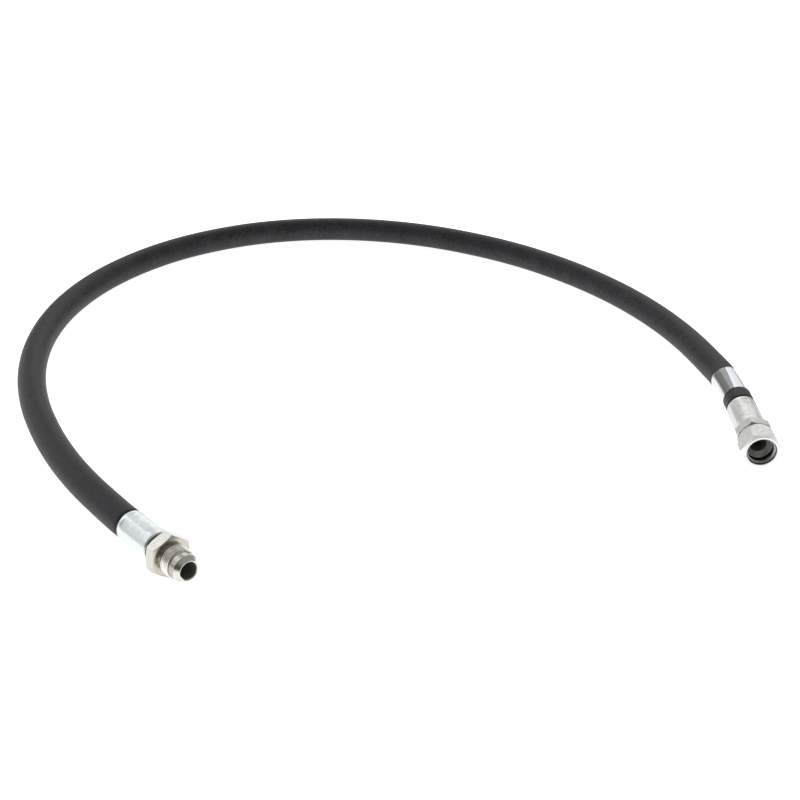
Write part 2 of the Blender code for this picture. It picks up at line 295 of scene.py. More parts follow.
def blend_colour(tree, factor, first, second):
    """Colour that goes from the first to the second as the factor rises. Either may be a socket."""
    if isinstance(first, tuple):
        first = (*first, 1.0)
    if isinstance(second, tuple):
        second = (*second, 1.0)
    return add_node(tree, "ShaderNodeMix", {0: factor, 6: first, 7: second}, data_type="RGBA").outputs[2]


def crossed_threads(tree, run, girth, rate):
    """Height of two sets of threads that cross at a slant, from -1 to 1."""
    threads = []
    for operation in ("ADD", "SUBTRACT"):
        slant = maths(tree, operation, run, girth)
        threads.append(maths(tree, "SINE", maths(tree, "MULTIPLY", slant, rate)))
    return maths(tree, "MULTIPLY", *threads)


def set_bump(tree, shader, height, distance=1.0, strength=1.0):
    """Shade the surface as if it rose by a height, which is counted in units of the distance."""
    bump = add_node(tree, "ShaderNodeBump", {"Height": height, "Distance": distance, "Strength": strength})
    tree.links.new(bump.outputs[0], shader.inputs["Normal"])


def new_material(name):
    """A new material, its node tree and its shader."""
    made = bpy.data.materials.new(name)
    made.use_nodes = True
    return made, made.node_tree, made.node_tree.nodes["Principled BSDF"]


cover = hollow_tube("rubber_cover", hose_axis, HOSE_RADIUS, COVER_WALL, COVER_SIDES)

TAPE_PITCH = 0.046
TAPE_THREAD = 0.0007
TAPE_OVERLAP = 0.035
RUBBER_BLACK = (0.0145, 0.0148, 0.0172)
RUBBER_GREY = (0.0565, 0.0572, 0.0635)
RUBBER_ROUGHNESS = 0.44
WEAVE_HEIGHT = 0.00002
OVERLAP_HEIGHT = 0.00006
BLOOM_HEIGHT = 0.0004
SPECKLE_HEIGHT = 0.00003

rubber, tree, shader = new_material("tape_wrapped_rubber")
uv = add_node(tree, "ShaderNodeSeparateXYZ", {0: add_node(tree, "ShaderNodeTexCoord").outputs["UV"]})
run = maths(tree, "MULTIPLY", uv.outputs["X"], hose_length)
girth = maths(tree, "MULTIPLY", uv.outputs["Y"], 2 * pi * HOSE_RADIUS)
wound = maths(tree, "FRACT", maths(tree, "ADD", maths(tree, "DIVIDE", run, TAPE_PITCH), uv.outputs["Y"]))
overlap = ramp(tree, wound, 0.0, TAPE_OVERLAP, 1.0, 0.0, "SMOOTHSTEP")
weave = crossed_threads(tree, run, girth, 2 * pi / TAPE_THREAD)
place = add_node(tree, "ShaderNodeTexCoord").outputs["Object"]
bloom = noise(tree, {"Vector": place, "Scale": 38.0, "Detail": 5.0, "Roughness": 0.6})
mottle = noise(tree, {"Vector": place, "Scale": 260.0, "Detail": 3.0})
speckle = noise(tree, {"Vector": place, "Scale": 1100.0, "Detail": 2.0})
tone = maths(tree, "MULTIPLY_ADD", speckle, 0.35, maths(tree, "MULTIPLY", bloom, 0.35))
tone = maths(tree, "MULTIPLY_ADD", mottle, 0.3, tone)
tone = ramp(tree, tone, 0.38, 0.62)
worn = maths(tree, "MULTIPLY_ADD", overlap, 0.25, tone)
tree.links.new(blend_colour(tree, worn, RUBBER_BLACK, RUBBER_GREY), shader.inputs["Base Color"])
tree.links.new(maths(tree, "MULTIPLY_ADD", tone, 0.18, RUBBER_ROUGHNESS), shader.inputs["Roughness"])
shader.inputs["Specular IOR Level"].default_value = 0.24
height = maths(tree, "MULTIPLY_ADD", weave, WEAVE_HEIGHT, maths(tree, "MULTIPLY", overlap, OVERLAP_HEIGHT))
height = maths(tree, "MULTIPLY_ADD", bloom, BLOOM_HEIGHT, height)
height = maths(tree, "MULTIPLY_ADD", speckle, SPECKLE_HEIGHT, height)
set_bump(tree, shader, height, strength=0.6)
cover.data.materials.append(rubber)
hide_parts("hose_cover")
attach(cover, "hose")


# ---- Layers under the cover ----
# Two braids of brass-coated steel wire carry the pressure, with a thin rubber sleeve between them,
# over the oil-proof rubber tube. They run on into both ferrules, up to the stems' collars.

FIT_GAP = 0.0003
FERRULE_LIP = 0.0037
COLLAR_WIDTH = 0.0017
MALE_FERRULE_LENGTH = 0.0447
FEMALE_FERRULE_LENGTH = 0.0430
LAYER_SPACING = 0.008
LAYER_SIDES = 32
STRANDS_EACH_WAY = 12
STRAND_PITCH = 0.030
STRAND_HEIGHT = 0.0003
BRAID_SHADE = (0.16, 0.13, 0.08)
BRAID_BRASS = (0.62, 0.54, 0.36)
TUBE_BLACK = (0.012, 0.012, 0.012)
TUBE_GREY = (0.03, 0.03, 0.03)


def insertion_depth(ferrule_length):
    """Station where the hose's cut end stands inside a ferrule."""
    return ferrule_length - FERRULE_LIP - COLLAR_WIDTH - 2 * FIT_GAP


male_end = along(MALE_FRAME, insertion_depth(MALE_FERRULE_LENGTH))
female_end = along(FEMALE_FRAME, insertion_depth(FEMALE_FERRULE_LENGTH))
whole_axis = even_points([male_end] + fine_axis + [female_end], LAYER_SPACING)

braid_wire, tree, shader = new_material("brass_coated_braid")
uv = add_node(tree, "ShaderNodeSeparateXYZ", {0: add_node(tree, "ShaderNodeTexCoord").outputs["UV"]})
turns = maths(tree, "MULTIPLY", uv.outputs["X"], chain_length(whole_axis) / STRAND_PITCH)
crossing = crossed_threads(tree, turns, uv.outputs["Y"], 2 * pi * STRANDS_EACH_WAY)
over = maths(tree, "MULTIPLY_ADD", crossing, 0.5, 0.5)
tree.links.new(blend_colour(tree, over, BRAID_SHADE, BRAID_BRASS), shader.inputs["Base Color"])
shader.inputs["Metallic"].default_value = 1.0
tree.links.new(maths(tree, "MULTIPLY_ADD", over, -0.2, 0.5), shader.inputs["Roughness"])
set_bump(tree, shader, over, distance=STRAND_HEIGHT)

tube_rubber, tree, shader = new_material("oil_proof_rubber")
place = add_node(tree, "ShaderNodeTexCoord").outputs["Object"]
grain = noise(tree, {"Vector": place, "Scale": 600.0, "Detail": 3.0})
tree.links.new(blend_colour(tree, grain, TUBE_BLACK, TUBE_GREY), shader.inputs["Base Color"])
tree.links.new(maths(tree, "MULTIPLY_ADD", grain, 0.2, 0.4), shader.inputs["Roughness"])

# Each layer: its piece, the solid it replaces, its material slot, its outer radius and its wall.
HOSE_LAYERS = (
    ("outer_wire_braid", "hose_outer_braid", "braid_wire", 0.0128, 0.0005),
    ("insulation_sleeve", "hose_insulation_layer", "inner_rubber", 0.0120, 0.0003),
    ("inner_wire_braid", "hose_inner_braid", "braid_wire", 0.0114, 0.0005),
    ("inner_rubber_tube", "hose_inner_tube", "inner_rubber", 0.0106, 0.0011),
)
for name, node, finish, radius, wall in HOSE_LAYERS:
    layer = hollow_tube(name, whole_axis, radius, wall, LAYER_SIDES)
    layer.data.materials.append(braid_wire if finish == "braid_wire" else tube_rubber)
    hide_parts(node)
    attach(layer, "hose")


# ---- Ferrules ----
# Each end has a sleeve turned from steel bar and zinc plated. Eight dies press it onto the hose,
# which leaves eight flats with narrow ridges between them. The ends stay round.

TURN_STEPS = 96
FERRULE_RADIUS = 0.0146
FERRULE_BORE = 0.01315
FERRULE_LIP_BORE = 0.0103
CRIMP_DIES = 8
CRIMP_DEPTH = 0.00045
CRIMP_FLATNESS = 0.55
CRIMP_START = 0.0042
CRIMP_FROM_FRONT = 0.0085
CRIMP_RAMP = 0.0006
FRONT_BEVEL = 0.0009
REAR_ROUNDING = 0.0009
REAR_FACE_RADIUS = 0.0130
COUNTERSINK = 0.0030
SLEEVE_EDGE = 0.00012
SHARP_EDGE = radians(35.0)


def turned(outline):
    """Solid of revolution: a closed outline of (radius, station) points spun about the local Z axis."""
    bm = bmesh.new()
    corners = [bm.verts.new((radius, 0.0, station)) for radius, station in outline]
    rim = [bm.edges.new(pair) for pair in zip(corners, corners[1:] + corners[:1])]
    bmesh.ops.spin(
        bm, geom=corners + rim, cent=(0.0, 0.0, 0.0), axis=(0.0, 0.0, 1.0),
        angle=2 * pi, steps=TURN_STEPS, use_merge=True,
    )
    bmesh.ops.remove_doubles(bm, verts=bm.verts, dist=0.000001)
    bmesh.ops.recalc_face_normals(bm, faces=bm.faces)
    return bm


def round_corner(before, corner, after, radius, steps):
    """Points of a small arc in place of an outline's corner."""
    corner = Vector(corner)
    start = corner + (Vector(before) - corner).normalized() * radius
    end = corner + (Vector(after) - corner).normalized() * radius
    points = []
    for i in range(steps + 1):
        part = i / steps
        points.append(tuple(start.lerp(corner, part).lerp(corner.lerp(end, part), part)))
    return points


def finish_metal(name, bm, fitting, edge, material, crease=SHARP_EDGE):
    """Put a finished shape in its place, with its sharp edges broken by a small bevel."""
    bmesh.ops.transform(bm, matrix=fitting, verts=bm.verts)
    mesh = bpy.data.meshes.new(name)
    bm.to_mesh(mesh)
    bm.free()
    mesh.shade_smooth()
    mesh.set_sharp_from_angle(angle=crease)
    mesh.materials.append(material)
    piece = bpy.data.objects.new(name, mesh)
    scene.collection.objects.link(piece)
    if edge:
        bevel = piece.modifiers.new("Broken edges", "BEVEL")
        bevel.width = edge
        bevel.segments = 2
        bevel.limit_method = "ANGLE"
        bevel.angle_limit = SHARP_EDGE
        bevel.harden_normals = True
    return piece


def band_mask(tree, value, start, end, soft=0.0002):
    """1 while a station or a radius is between two others, fading to 0 outside them."""
    rise = ramp(tree, value, start - soft, start + soft)
    fall = ramp(tree, value, end - soft, end + soft, 1.0, 0.0)
    return maths(tree, "MULTIPLY", rise, fall)


# Colour of the painted shade in thread roots.
PAINTED_ROOT_SHADE = (0.05, 0.045, 0.04)
OILY_FILM = (0.18, 0.19, 0.175)
OILY_METALLIC = 0.1
END_FACE_LEAN = 0.6
TOOL_LINES = 2600.0
WAVINESS = 0.00012


def plated_steel(
    name, place, turn, bright, dull, metallic, roughness, spread, line_depth, patch_scale,
    tints=(), threads=(), bore=(),
):
    """Plated steel: tool lines around the axis, cloudy plating patches and a slight waviness.

    Each tint is (start, end, inner radius, outer radius, colour, strength, end_faces_only). Some tints are
    painted shade and highlights. Each thread is (start, end, root, crest), and its roots are darkened with
    painted shade. A bore is (end, radius), and an oily film dulls it."""
    plated, tree, shader = new_material(name)
    texture = add_node(tree, "ShaderNodeTexCoord")
    local = add_node(
        tree, "ShaderNodeMapping", {"Vector": texture.outputs["Object"], "Location": place, "Rotation": turn},
        vector_type="TEXTURE",
    ).outputs[0]
    split = add_node(tree, "ShaderNodeSeparateXYZ", {0: local})
    station = split.outputs[2]
    across = add_node(tree, "ShaderNodeCombineXYZ", {0: split.outputs[0], 1: split.outputs[1]})
    length = add_node(tree, "ShaderNodeVectorMath", {0: across.outputs[0]}, operation="LENGTH")
    reach = length.outputs["Value"]
    axis = fitting_turn(turn) @ Vector((0.0, 0.0, 1.0))
    normal = texture.outputs["Normal"]
    lean = add_node(tree, "ShaderNodeVectorMath", {0: normal, 1: axis}, operation="DOT_PRODUCT")
    end_face = maths(tree, "GREATER_THAN", maths(tree, "ABSOLUTE", lean.outputs["Value"]), END_FACE_LEAN)
    tool_path = maths(tree, "ADD", station, maths(tree, "MULTIPLY", end_face, reach))
    tool_path = maths(tree, "MULTIPLY", tool_path, TOOL_LINES)
    lines = noise(tree, {"W": tool_path, "Scale": 1.0, "Detail": 3.0}, noise_dimensions="1D")
    clouds = noise(tree, {"Vector": local, "Scale": patch_scale, "Detail": 5.0, "Roughness": 0.62})
    fleck = noise(tree, {"Vector": local, "Scale": patch_scale * 7.0, "Detail": 3.0})
    mixed = maths(tree, "MULTIPLY_ADD", fleck, 0.35, maths(tree, "MULTIPLY", clouds, 0.65))
    patches = ramp(tree, mixed, 0.38, 0.62)
    colour = blend_colour(tree, patches, bright, dull)
    rough = maths(tree, "MULTIPLY_ADD", patches, spread, roughness)
    rough = maths(tree, "MULTIPLY_ADD", lines, 0.08, rough)
    for start, end, inner, outer, tint, strength, end_faces_only in tints:
        ring = band_mask(tree, reach, inner, outer, soft=0.0001)
        mask = maths(tree, "MULTIPLY", band_mask(tree, station, start, end), ring)
        mask = maths(tree, "MULTIPLY", mask, strength)
        if end_faces_only:
            mask = maths(tree, "MULTIPLY", mask, end_face)
        colour = blend_colour(tree, mask, colour, tint)
    # Painted shade in each thread's roots, darkest at the bottom of the root.
    for start, end, root, crest in threads:
        depth = ramp(tree, reach, root, root + (crest - root) * 0.75, 0.95, 0.0)
        near = maths(tree, "LESS_THAN", reach, max(root, crest) + 0.0003)
        root_shade = maths(tree, "MULTIPLY", band_mask(tree, station, start, end), depth)
        root_shade = maths(tree, "MULTIPLY", root_shade, near)
        colour = blend_colour(tree, root_shade, colour, PAINTED_ROOT_SHADE)
        rough = maths(tree, "MULTIPLY_ADD", root_shade, 0.3, rough)
    shader.inputs["Metallic"].default_value = metallic
    if bore:
        end, radius = bore
        behind = maths(tree, "LESS_THAN", station, end)
        oily = maths(tree, "MULTIPLY", behind, maths(tree, "LESS_THAN", reach, radius))
        colour = blend_colour(tree, oily, colour, OILY_FILM)
        shine = maths(tree, "MULTIPLY_ADD", oily, OILY_METALLIC - metallic, metallic)
        tree.links.new(shine, shader.inputs["Metallic"])
    tree.links.new(colour, shader.inputs["Base Color"])
    tree.links.new(rough, shader.inputs["Roughness"])
    waves = maths(tree, "MULTIPLY", clouds, WAVINESS)
    set_bump(tree, shader, maths(tree, "MULTIPLY_ADD", lines, line_depth, waves), strength=0.8)
    return plated


def crimped_sleeve(length):
    """Ferrule shape: rounded rear edge, pressed middle, plain front with a bevelled edge, inner lip."""
    crimp_end = length - CRIMP_FROM_FRONT
    ramps = []
    for station in (crimp_end, CRIMP_START):
        for i in (4, 2, 0, -2, -4):
            ramps.append((FERRULE_RADIUS, station + CRIMP_RAMP * i / 4))
    shoulder = length - 1.6 * FRONT_BEVEL
    outline = [
        (FERRULE_LIP_BORE, length - COUNTERSINK),
        (FERRULE_LIP_BORE + COUNTERSINK, length),
        (FERRULE_RADIUS - FRONT_BEVEL, length),
        (FERRULE_RADIUS, shoulder),
        (FERRULE_RADIUS, shoulder - 0.0002),
    ]
    outline += ramps
    outline += round_corner(
        (FERRULE_RADIUS, CRIMP_START), (FERRULE_RADIUS, 0.0), (REAR_FACE_RADIUS, 0.0), REAR_ROUNDING, steps=5
    )
    outline += [
        (FERRULE_BORE, 0.0),
        (FERRULE_BORE, length - FERRULE_LIP),
        (FERRULE_LIP_BORE, length - FERRULE_LIP),
    ]
    bm = turned(outline)
    side = 2 * pi / CRIMP_DIES
    for vertex in bm.verts:
        x, y, station = vertex.co
        radius = hypot(x, y)
        depth = min(station - CRIMP_START, crimp_end - station) / (2 * CRIMP_RAMP) + 0.5
        if radius < FERRULE_RADIUS - 0.00001 or depth <= 0.0:
            continue
        depth = min(depth, 1.0)
        depth = depth * depth * (3 - 2 * depth)
        from_middle = atan2(y, x) % side - side / 2
        face = FERRULE_RADIUS - CRIMP_DEPTH
        pressed = min(face + (face / cos(from_middle) - face) * CRIMP_FLATNESS, FERRULE_RADIUS + 0.00005)
        scale = (radius + (pressed - radius) * depth) / radius
        vertex.co.x *= scale
        vertex.co.y *= scale
    half_die = Matrix.Rotation(pi / CRIMP_DIES, 3, "Z")
    bmesh.ops.rotate(bm, verts=bm.verts, cent=(0.0, 0.0, 0.0), matrix=half_die)
    return bm


male_zinc = plated_steel(
    "male_end_zinc", ROUTE[0], MALE_TURN, bright=(0.86, 0.905, 0.91), dull=(0.74, 0.785, 0.79),
    metallic=0.8, roughness=0.32, spread=0.14, line_depth=0.000010, patch_scale=260.0,
    tints=[
        # Painted shade on the sleeve's front face, in the hex's shadow, and a darker line at the end of the
        # pressed part.
        (0.0443, 0.0450, 0.0, 0.0138, (0.03, 0.03, 0.03), 0.95, True),
        (0.0355, 0.0361, 0.0140, 0.0150, (0.45, 0.47, 0.47), 0.5, False),
    ],
)
female_zinc = plated_steel(
    "female_end_zinc", ROUTE[-1], FEMALE_TURN, bright=(0.74, 0.745, 0.725), dull=(0.60, 0.605, 0.59),
    metallic=0.8, roughness=0.34, spread=0.12, line_depth=0.000012, patch_scale=240.0,
    tints=[
        # Painted shade in the hollow seat, deep in the stem's mouth.
        (0.0664, 0.0708, 0.0, 0.01155, (0.33, 0.37, 0.37), 0.45, False),
        # Painted shade on the rear edge of the nut, in the narrow gap against the stem's hex.
        (0.0556, 0.0566, 0.0145, 0.0210, (0.12, 0.13, 0.13), 0.6, False),
        # Painted shade on the sleeve's front face, in the hex's shadow, and a darker line at the end of the
        # pressed part.
        (0.0395, 0.0433, 0.0, 0.0138, (0.05, 0.05, 0.05), 0.9, True),
        (0.0338, 0.0344, 0.0140, 0.0150, (0.36, 0.36, 0.34), 0.6, False),
        # The nut's freshly faced front ring, brightened nearly to white, partly its own finish and partly a
        # painted highlight, with a fine turned line in it.
        (0.0785, 0.0815, 0.0130, 0.0210, (0.98, 0.98, 0.97), 0.85, True),
        (0.0785, 0.0815, 0.0156, 0.0159, (0.22, 0.23, 0.23), 0.7, True),
        # Painted shade in the relief behind the nut's thread, and lighter painted shade on the thread itself.
        (0.0680, 0.0728, 0.0119, 0.0139, (0.03, 0.03, 0.03), 0.9, False),
        (0.0728, 0.0800, 0.0119, 0.0139, (0.30, 0.32, 0.32), 0.45, False),
    ],
    threads=[(0.0728, 0.0800, 0.0136, 0.0124)],
    bore=(0.0664, 0.0079),
)
male_ferrule = finish_metal(
    "male_crimped_sleeve", crimped_sleeve(MALE_FERRULE_LENGTH), MALE_FRAME, SLEEVE_EDGE, male_zinc
)
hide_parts("male_ferrule")
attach(male_ferrule, "hose")
female_ferrule = finish_metal(
    "female_crimped_sleeve", crimped_sleeve(FEMALE_FERRULE_LENGTH), FEMALE_FRAME, SLEEVE_EDGE, female_zinc
)
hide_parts("female_ferrule")
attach(female_ferrule, "hose")


# ---- Male stem ----
# One steel piece turned from hex bar: a barbed tail inside the hose, the spanner hex, a thread of
# 12 turns to the inch, a plain neck and the polished 37 degree nose. Bright plate, warm in tint.

NIPPLE_BORE = 0.0069
NIPPLE_ROOT = 0.0082
NIPPLE_BARB = 0.0088
BARBS = 5
BARB_PITCH = 0.0060
COLLAR_RADIUS = 0.0115
NECK_RADIUS = 0.0100
STEM_BORE = 0.00775
SEAT_ANGLE = radians(37.0)
THREAD_PITCH = 0.0254 / 12
THREAD_MAJOR = 0.0135
THREAD_MINOR = 0.0123
THREAD_FADE = 0.3
THREAD_STEPS = 64
CHAMFER_SLOPE = tan(radians(30.0))
MALE_HEX_FLATS = 0.0349
MALE_HEX = (0.0510, 0.0635)
MALE_HEX_TURN = radians(-9.5)
MALE_HEX_BACK_CONE = (0.0160, CHAMFER_SLOPE)
MALE_HEX_FRONT_CONE = (0.0170, tan(radians(24.0)))
MALE_RELIEF_RADIUS = 0.0120
MALE_THREAD = (0.0655, 0.0787)
THREAD_RUN_IN = 0.0011
MALE_SEAT_START = 0.0851
MALE_NOSE = 0.0894
MALE_MOUTH_RADIUS = 0.0086
MALE_BORE_STEP = 0.0540
STEP_LENGTH = 0.0006
TAIL_END = 0.0015
HEX_CREASE = radians(16.0)
BROKEN_EDGE = 0.00015


def nipple_outline(ferrule_length):
    """Outer points of a stem's tail: neck, collar and barbs, front to back."""
    collar_back = insertion_depth(ferrule_length) + FIT_GAP
    points = [
        (NECK_RADIUS, collar_back + COLLAR_WIDTH),
        (COLLAR_RADIUS, collar_back + COLLAR_WIDTH),
        (COLLAR_RADIUS, collar_back),
        (NIPPLE_ROOT, collar_back),
    ]
    for barb in range(BARBS):
        front = collar_back - 0.003 - barb * BARB_PITCH
        points += [
            (NIPPLE_ROOT, front),
            (NIPPLE_BARB, front - 0.0002),
            (NIPPLE_ROOT, front - BARB_PITCH + 0.0010),
        ]
    return points + [
        (NIPPLE_ROOT, TAIL_END + 0.0010),
        (NIPPLE_ROOT - STEP_LENGTH, TAIL_END),
        (NIPPLE_BORE, TAIL_END),
    ]


def hex_outline(flats, start, end, front_face, back_face):
    """Outer points of a hex blank before its flats are cut, front to back."""
    corner = flats / 2 / cos(pi / 6)
    return [(front_face, end), (corner, end), (corner, start), (back_face, start)]


def cut_hex(bm, flats, start, end, turn, front_cone, back_cone):
    """Cut six flats between two turned cones, each (face radius, depth over height), whose edges curve."""
    side = pi / 3
    middle = (start + end) / 2
    for vertex in bm.verts:
        x, y, station = vertex.co
        radius = hypot(x, y)
        face, slope = front_cone if station > middle else back_cone
        if not start - 0.00001 <= station <= end + 0.00001 or radius < face + 0.00001:
            continue
        limit = flats / 2 / cos(atan2(y, x) % side - side / 2)
        vertex.co.x *= limit / radius
        vertex.co.y *= limit / radius
        inset = (limit - face) * slope
        vertex.co.z += -inset if station > middle else inset
    bmesh.ops.rotate(bm, verts=bm.verts, cent=(0.0, 0.0, 0.0), matrix=Matrix.Rotation(turn, 3, "Z"))


def wind_thread(bm, start, end, root, crest):
    """Wind a right-hand V ridge around the axis between two stations. It fades out at its ends."""
    flat = THREAD_PITCH / 16
    half = abs(crest - root) * tan(pi / 6) + flat
    sunk = root + (root - crest) * 0.1
    turns = (end - start) / THREAD_PITCH
    count = round(turns * THREAD_STEPS)
    ridge = bmesh.new()
    corners = [
        ridge.verts.new((radius, 0.0, start + offset))
        for radius, offset in ((sunk, -half), (crest, -flat), (crest, flat), (sunk, half))
    ]
    rim = [ridge.edges.new(pair) for pair in zip(corners, corners[1:] + corners[:1])]
    bmesh.ops.spin(
        ridge, geom=corners + rim, cent=(0.0, 0.0, 0.0), axis=(0.0, 0.0, 1.0),
        dvec=(0.0, 0.0, THREAD_PITCH / THREAD_STEPS), angle=2 * pi * count / THREAD_STEPS, steps=count,
        use_merge=False,
    )
    for vertex in ridge.verts:
        part_turn = atan2(vertex.co.y, vertex.co.x) / (2 * pi) % 1.0
        wound = (vertex.co.z - start) / THREAD_PITCH
        wound = part_turn + round(wound - part_turn)
        height = max(0.02, min(1.0, wound / THREAD_FADE, (turns - wound) / THREAD_FADE))
        radius = hypot(vertex.co.x, vertex.co.y)
        scale = (sunk + (radius - sunk) * height) / radius
        vertex.co.x *= scale
        vertex.co.y *= scale
    bmesh.ops.holes_fill(ridge, edges=ridge.edges, sides=4)
    bmesh.ops.recalc_face_normals(ridge, faces=ridge.faces)
    wound_mesh = bpy.data.meshes.new("thread_ridge")
    ridge.to_mesh(wound_mesh)
    ridge.free()
    bm.from_mesh(wound_mesh)
    bpy.data.meshes.remove(wound_mesh)


nose_radius = THREAD_MINOR - (MALE_NOSE - MALE_SEAT_START) * tan(SEAT_ANGLE)
outline = [(MALE_MOUTH_RADIUS, MALE_NOSE), (nose_radius, MALE_NOSE), (THREAD_MINOR, MALE_SEAT_START)]
outline += [(THREAD_MINOR, MALE_THREAD[0]), (MALE_RELIEF_RADIUS, MALE_THREAD[0] - 0.0003)]
outline += [(MALE_RELIEF_RADIUS, MALE_HEX[1])]
outline += hex_outline(MALE_HEX_FLATS, *MALE_HEX, MALE_HEX_FRONT_CONE[0], MALE_HEX_BACK_CONE[0])
outline += [(NECK_RADIUS, MALE_HEX[0])]
outline += nipple_outline(MALE_FERRULE_LENGTH)
outline += [
    (NIPPLE_BORE, MALE_BORE_STEP),
    (STEM_BORE, MALE_BORE_STEP + STEP_LENGTH),
    (STEM_BORE, MALE_NOSE - STEP_LENGTH),
]
bm = turned(outline)
cut_hex(bm, MALE_HEX_FLATS, *MALE_HEX, MALE_HEX_TURN, MALE_HEX_FRONT_CONE, MALE_HEX_BACK_CONE)
wind_thread(bm, MALE_THREAD[0] + THREAD_RUN_IN, MALE_THREAD[1], THREAD_MINOR, THREAD_MAJOR)
warm_plate = plated_steel(
    "warm_bright_plate", ROUTE[0], MALE_TURN, bright=(0.73, 0.72, 0.67), dull=(0.61, 0.60, 0.54),
    metallic=1.0, roughness=0.17, spread=0.12, line_depth=0.000012, patch_scale=300.0,
    tints=[
        # The hex, duller than the turned faces.
        (0.0505, 0.0640, 0.0160, 0.0210, (0.53, 0.53, 0.495), 0.85, False),
        # Brown painted shade on the hex's front face and in the relief beside it.
        (0.0625, 0.0657, 0.0, 0.0172, (0.48, 0.43, 0.37), 0.7, True),
        (0.0634, 0.0657, 0.0, 0.0124, (0.42, 0.37, 0.31), 0.6, False),
        # Painted highlight on the thread crests.
        (0.0657, 0.0788, 0.0129, 0.0140, (0.88, 0.88, 0.84), 0.8, False),
        # The plain neck between the thread and the nose.
        (0.0790, 0.0850, 0.0110, 0.0125, (0.34, 0.29, 0.26), 0.75, False),
    ],
    threads=[(0.0655, 0.0788, THREAD_MINOR - 0.0004, THREAD_MAJOR)],
    bore=(0.0886, 0.0079),
)
male_stem = finish_metal("male_flare_stem", bm, MALE_FRAME, BROKEN_EDGE, warm_plate, crease=HEX_CREASE)
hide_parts("male_stem")
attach(male_stem, "hose")


# ---- Female stem ----
# The other stem has the same barbed tail, a smaller hex, and a plain head with a groove for the
# nut's wire. Its end is bored out to the hollow 37 degree seat. Turned steel, zinc plated.

STEM_HEX_FLATS = 0.03175
STEM_HEX = (0.0438, 0.0552)
STEM_HEX_TURN = radians(17.0)
STEM_HEX_BACK_CONE = (0.0152, CHAMFER_SLOPE)
STEM_HEX_FRONT_CONE = (0.0166, CHAMFER_SLOPE)
STEM_HEAD_RADIUS = 0.0120
STEM_RIM = 0.0710
STEM_RIM_RADIUS = 0.0116
STEM_BORE_STEP = 0.0440
WIRE_STATION = 0.0620
GROOVE_HALF_WIDTH = 0.00125
GROOVE_FLOOR = 0.0109

seat_depth = (STEM_RIM_RADIUS - STEM_BORE) / tan(SEAT_ANGLE)
outline = [
    (STEM_RIM_RADIUS, STEM_RIM),
    (STEM_HEAD_RADIUS - 0.0001, STEM_RIM),
    (STEM_HEAD_RADIUS, STEM_RIM - 0.0002),
    (STEM_HEAD_RADIUS, WIRE_STATION + GROOVE_HALF_WIDTH),
    (GROOVE_FLOOR, WIRE_STATION + GROOVE_HALF_WIDTH),
    (GROOVE_FLOOR, WIRE_STATION - GROOVE_HALF_WIDTH),
    (STEM_HEAD_RADIUS, WIRE_STATION - GROOVE_HALF_WIDTH),
    (STEM_HEAD_RADIUS, STEM_HEX[1]),
]
outline += hex_outline(STEM_HEX_FLATS, *STEM_HEX, STEM_HEX_FRONT_CONE[0], STEM_HEX_BACK_CONE[0])
outline += [(NECK_RADIUS, STEM_HEX[0])]
outline += nipple_outline(FEMALE_FERRULE_LENGTH)
outline += [
    (NIPPLE_BORE, STEM_BORE_STEP),
    (STEM_BORE, STEM_BORE_STEP + STEP_LENGTH),
    (STEM_BORE, STEM_RIM - seat_depth),
]
bm = turned(outline)
cut_hex(bm, STEM_HEX_FLATS, *STEM_HEX, STEM_HEX_TURN, STEM_HEX_FRONT_CONE, STEM_HEX_BACK_CONE)
female_stem = finish_metal("female_seat_stem", bm, FEMALE_FRAME, BROKEN_EDGE, female_zinc, crease=HEX_CREASE)
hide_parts("female_stem")
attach(female_stem, "hose")


# ---- Swivel nut ----
# A hex nut turns freely on the female stem. Inside it has the wire groove, a relief, and the
# thread that pulls the two seats together. Turned from hex bar and zinc plated.

NUT_HEX_FLATS = 0.0349
NUT = (0.0560, 0.0807)
NUT_TURN = radians(30.0)
NUT_FRONT_CONE = (0.0158, tan(radians(22.0)))
NUT_BACK_CONE = (0.0163, 2.9)
NUT_BORE = 0.0123
NUT_RELIEF = (0.0685, 0.0725)
NUT_RELIEF_RADIUS = 0.0137
NUT_MOUTH_RADIUS = 0.0142
NUT_THREAD_ROOT = THREAD_MAJOR + 0.0001
NUT_THREAD_CREST = THREAD_MINOR + 0.0001
GROOVE_ROOF = 0.0134

back, front = NUT
outline = hex_outline(NUT_HEX_FLATS, back, front, NUT_FRONT_CONE[0], NUT_BACK_CONE[0])
outline += [
    (NUT_BORE, back),
    (NUT_BORE, WIRE_STATION - GROOVE_HALF_WIDTH),
    (GROOVE_ROOF, WIRE_STATION - GROOVE_HALF_WIDTH),
    (GROOVE_ROOF, WIRE_STATION + GROOVE_HALF_WIDTH),
    (NUT_BORE, WIRE_STATION + GROOVE_HALF_WIDTH),
    (NUT_BORE, NUT_RELIEF[0]),
    (NUT_RELIEF_RADIUS, NUT_RELIEF[0]),
    (NUT_RELIEF_RADIUS, NUT_RELIEF[1]),
    (NUT_THREAD_ROOT, NUT_RELIEF[1] + 0.0003),
    (NUT_THREAD_ROOT, front - 0.0009),
    (NUT_MOUTH_RADIUS, front),
]
bm = turned(outline)
cut_hex(bm, NUT_HEX_FLATS, back, front, NUT_TURN, NUT_FRONT_CONE, NUT_BACK_CONE)
wind_thread(bm, NUT_RELIEF[1] + 0.0009, front - 0.0012, NUT_THREAD_ROOT, NUT_THREAD_CREST)
swivel_nut = finish_metal("turning_nut", bm, FEMALE_FRAME, BROKEN_EDGE, female_zinc, crease=HEX_CREASE)
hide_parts("swivel_nut")
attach(swivel_nut, "nut")


# ---- Nut wire ----
# An open ring of hard drawn wire is fed into the facing grooves of the stem and the nut, and
# keeps the nut on. It is bright steel with fine die lines along it.

WIRE_RING_RADIUS = 0.01215
WIRE_RADIUS = 0.00095
WIRE_OPENING = radians(14.0)
WIRE_SIDES = 16

